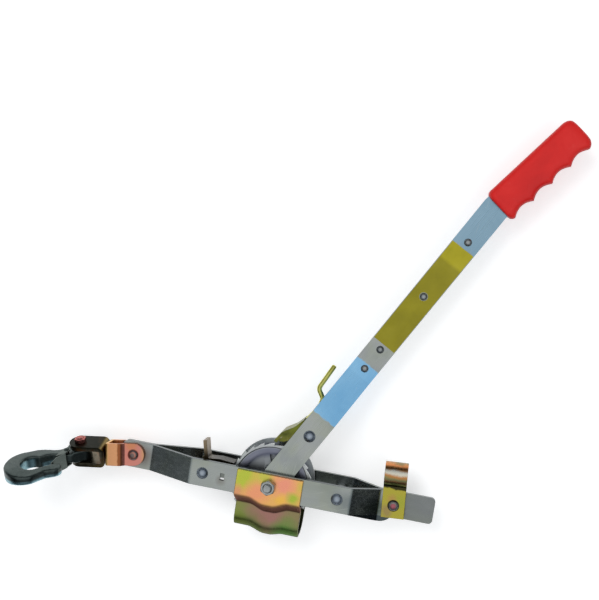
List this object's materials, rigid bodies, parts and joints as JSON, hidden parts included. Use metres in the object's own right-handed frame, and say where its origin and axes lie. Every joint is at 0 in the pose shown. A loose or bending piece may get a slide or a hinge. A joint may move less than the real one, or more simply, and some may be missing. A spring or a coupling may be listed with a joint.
{
  "type": "rope come along winch",
  "caption": "Rope-type come-along puller: ratchet wheel between spread side plates, long riveted ratchet handle, rope guard, rope guide and swivel anchor hook.",
  "frame": {"origin": "on the axle axis, in the plane that the axle bolt's rear head rests on", "axes": "+X along the frame from the hook end to the plain end, +Y from the frame towards the handle's side, +Z along the axle from the rear side plate to the front one"},
  "size_m": [0.4972, 0.4325, 0.0874],
  "materials": {
    "plate_zinc": "clear zinc plated strap steel, satin",
    "handle_zinc": "clear zinc plated strap steel with bluish bands, satin",
    "bright_zinc": "bright zinc plated rivets, sleeves, bolt and nut",
    "yellow_zinc": "iridescent yellow chromate on zinc",
    "copper_zinc": "peach to copper iridescent chromate on zinc",
    "olive_zinc": "olive yellow chromate on zinc",
    "brown_zinc": "tan to brown chromate on zinc",
    "red_zinc": "reddish brown plated bolt and nut",
    "dark_zinc": "grey-green plated forged steel",
    "latch_zinc": "grey plated sheet steel",
    "cast_wheel": "die cast, satin",
    "bush_brass": "turned",
    "spring_steel": "drawn spring wire",
    "grip_vinyl": "soft red vinyl, semi gloss",
    "label_yellow": "bare yellow label stock, satin"
  },
  "bodies": {
    "frame": {"front_side_plate": "plate_zinc", "rear_side_plate": "plate_zinc", "rope_guard": "yellow_zinc", "rope_guide": "yellow_zinc", "guide_rivet": "bright_zinc", "axle_bolt": "bright_zinc", "axle_nut": "bright_zinc", "axle_sleeve": "bright_zinc", "left_frame_rivet": "bright_zinc", "right_frame_rivet": "bright_zinc", "left_spacer": "bright_zinc", "right_spacer": "bright_zinc", "stop_dog_spring": "spring_steel", "clevis_pin": "bright_zinc"},
    "wheel": {"wheel_front_half": "cast_wheel", "wheel_rear_half": "cast_wheel", "wheel_bush": "bush_brass", "wheel_rivets": "bright_zinc"},
    "handle": {"front_handle_strap": "handle_zinc", "rear_handle_strap": "handle_zinc", "handle_rivets": "bright_zinc", "handle_grip": "grip_vinyl", "label_plate": "label_yellow", "drive_dog_pin": "bright_zinc", "drive_dog_spring": "spring_steel"},
    "drive_dog_body": {"drive_dog": "olive_zinc", "finger_rod": "olive_zinc"},
    "stop_dog_body": {"stop_dog": "brown_zinc"},
    "clevis_body": {"clevis": "copper_zinc"},
    "yoke_body": {"swivel_yoke": "olive_zinc", "swivel_stud": "olive_zinc", "hook_bolt": "red_zinc", "hook_nut": "red_zinc"},
    "hook_body": {"hook": "dark_zinc", "latch_pin": "dark_zinc", "latch_spring": "spring_steel"},
    "latch_body": {"hook_latch": "latch_zinc"}
  },
  "joints": [
    {"name": "handle_swing", "type": "hinge", "parent": "frame", "child": "handle", "pos_m": [0, 0, 0.032], "axis": [0, 0, 1], "range_deg": [-32, 60]},
    {"name": "wheel_spin", "type": "hinge", "parent": "frame", "child": "wheel", "pos_m": [0, 0, 0.032], "axis": [0, 0, 1], "continuous": true},
    {"name": "drive_dog_pivot", "type": "hinge", "parent": "handle", "child": "drive_dog_body", "pos_m": [0.03014, 0.05327, 0.032], "axis": [0, 0, 1], "range_deg": [-7, 0], "stiffness_Nm_per_rad": 0.05, "springref_deg": 20.05},
    {"name": "stop_dog_pivot", "type": "hinge", "parent": "frame", "child": "stop_dog_body", "pos_m": [-0.0655, 0, 0.032], "axis": [0, 0, 1], "range_deg": [0, 18], "stiffness_Nm_per_rad": 0.05, "springref_deg": -20.05},
    {"name": "clevis_swing", "type": "hinge", "parent": "frame", "child": "clevis_body", "pos_m": [-0.14, 0, 0.032], "axis": [0, 0, 1], "range_deg": [-75, 75]},
    {"name": "hook_swivel", "type": "hinge", "parent": "clevis_body", "child": "yoke_body", "pos_m": [-0.16769, -0.00414, 0.032], "axis": [-0.989, -0.1478, 0], "continuous": true},
    {"name": "hook_pivot", "type": "hinge", "parent": "yoke_body", "child": "hook_body", "pos_m": [-0.1944, -0.00813, 0.032], "axis": [-0.1389, 0.9294, 0.342], "range_deg": [-95, 35]},
    {"name": "latch_pivot", "type": "hinge", "parent": "hook_body", "child": "latch_body", "pos_m": [-0.20478, -0.01353, 0.04246], "axis": [-0.1389, 0.9294, 0.342], "range_deg": [-38, 0], "stiffness_Nm_per_rad": 0.004, "springref_deg": 28.65}
  ]
}
